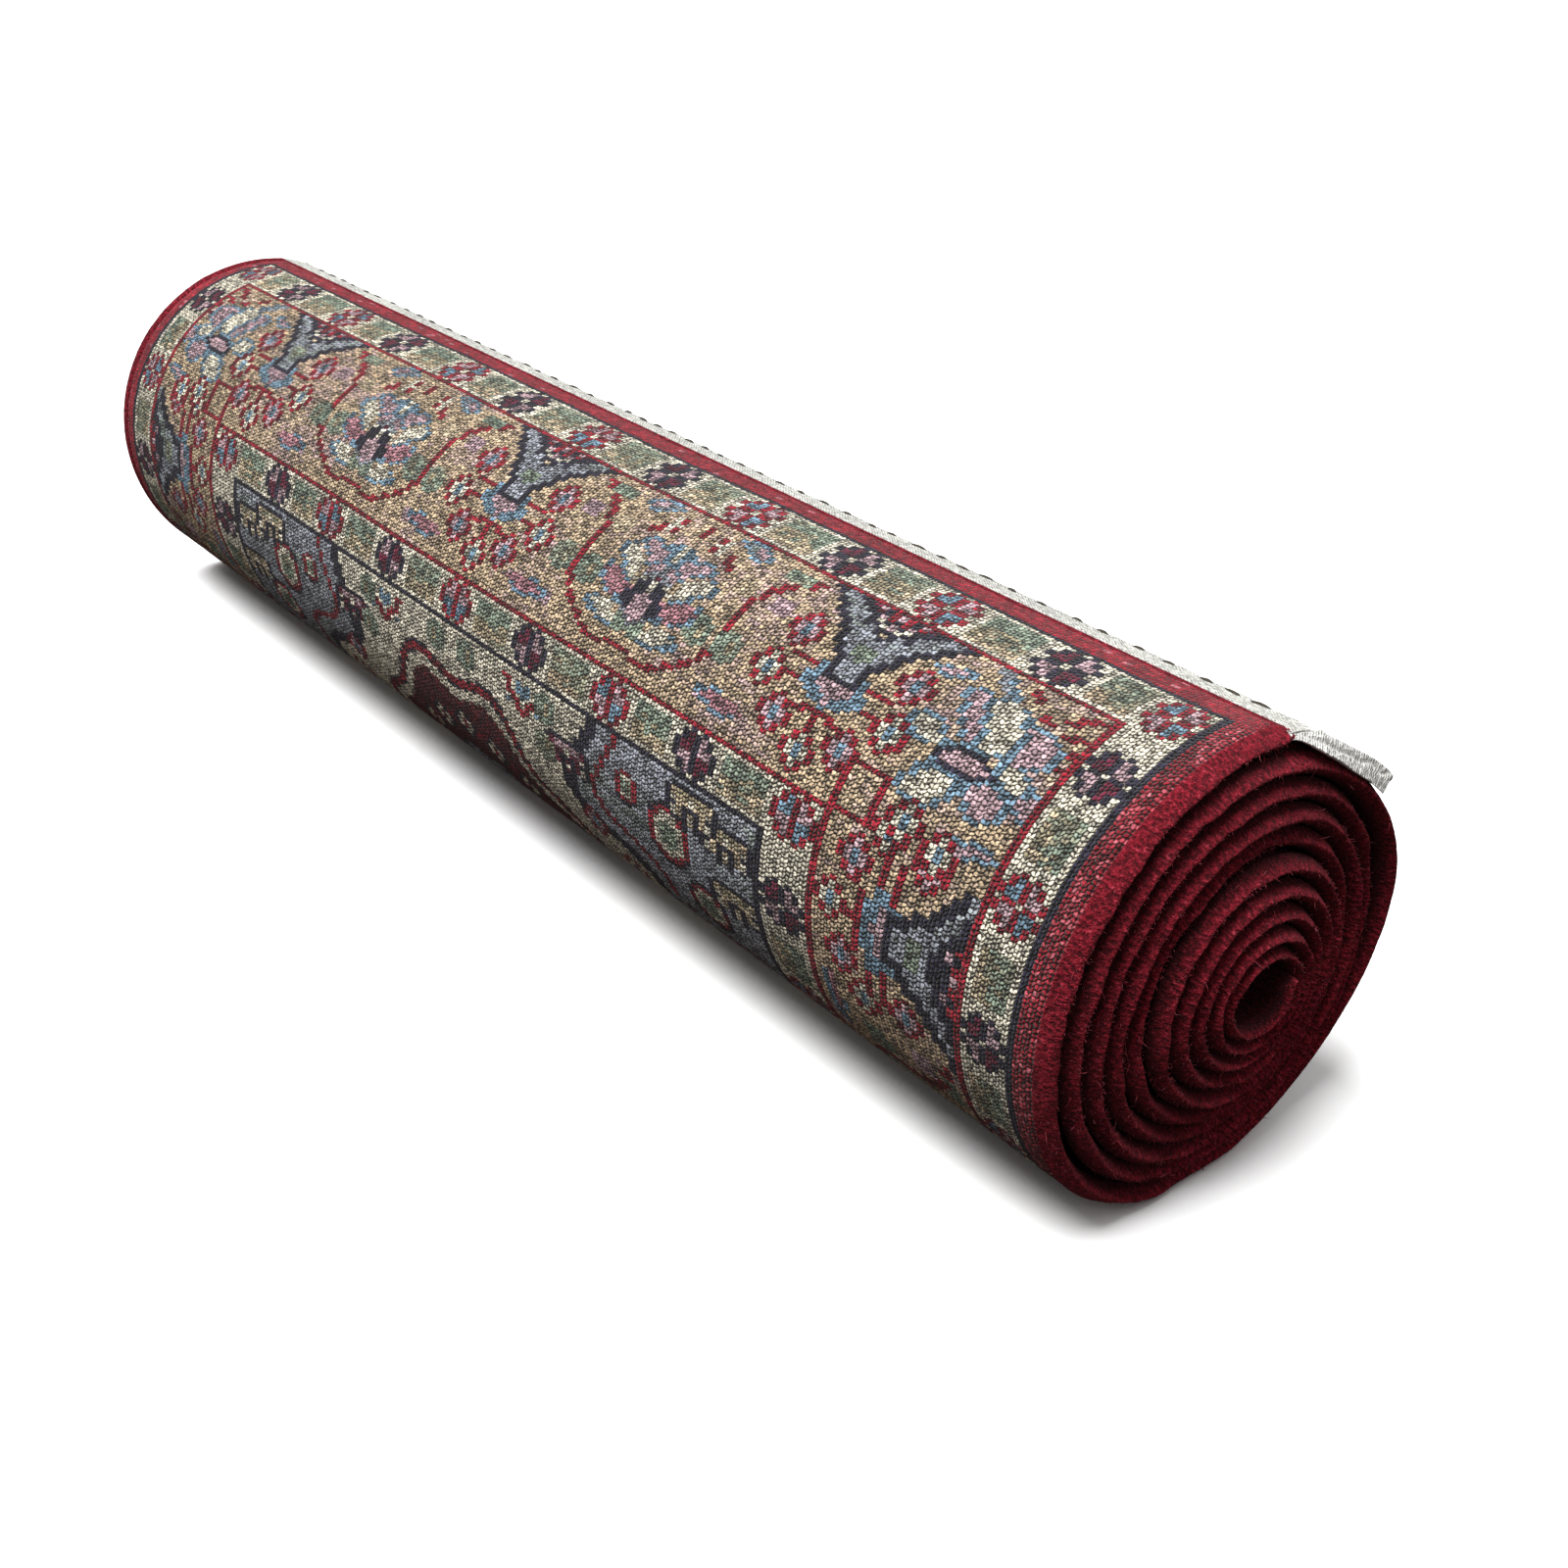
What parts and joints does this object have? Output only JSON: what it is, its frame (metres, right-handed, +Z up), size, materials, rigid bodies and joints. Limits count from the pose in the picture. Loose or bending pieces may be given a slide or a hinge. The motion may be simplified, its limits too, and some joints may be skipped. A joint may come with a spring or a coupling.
{
  "type": "rolled persian rug",
  "caption": "Knotted wool runner rug wound into a roll with its back outwards, a flat-woven white end loose along the top, lying on its side.",
  "frame": {"origin": "bottom centre of the whole roll's box, on the surface it rests on", "axes": "+X along the roll towards the end whose inner turns stand out, +Y from the patterned front to the side the white end faces, +Z up"},
  "size_m": [0.8149, 0.1868, 0.1883],
  "materials": {
    "wool_pile_rug": "hand-knotted wool seen from its back: small paired knots in a red, camel, cream, navy and grey-blue border pattern, with dark red fuzzy edges",
    "cotton_flatweave": "off-white cotton flat weave, rough and matt"
  },
  "bodies": {
    "root": {"rug_roll": "wool_pile_rug", "kilim_end": "cotton_flatweave"}
  },
  "joints": []
}
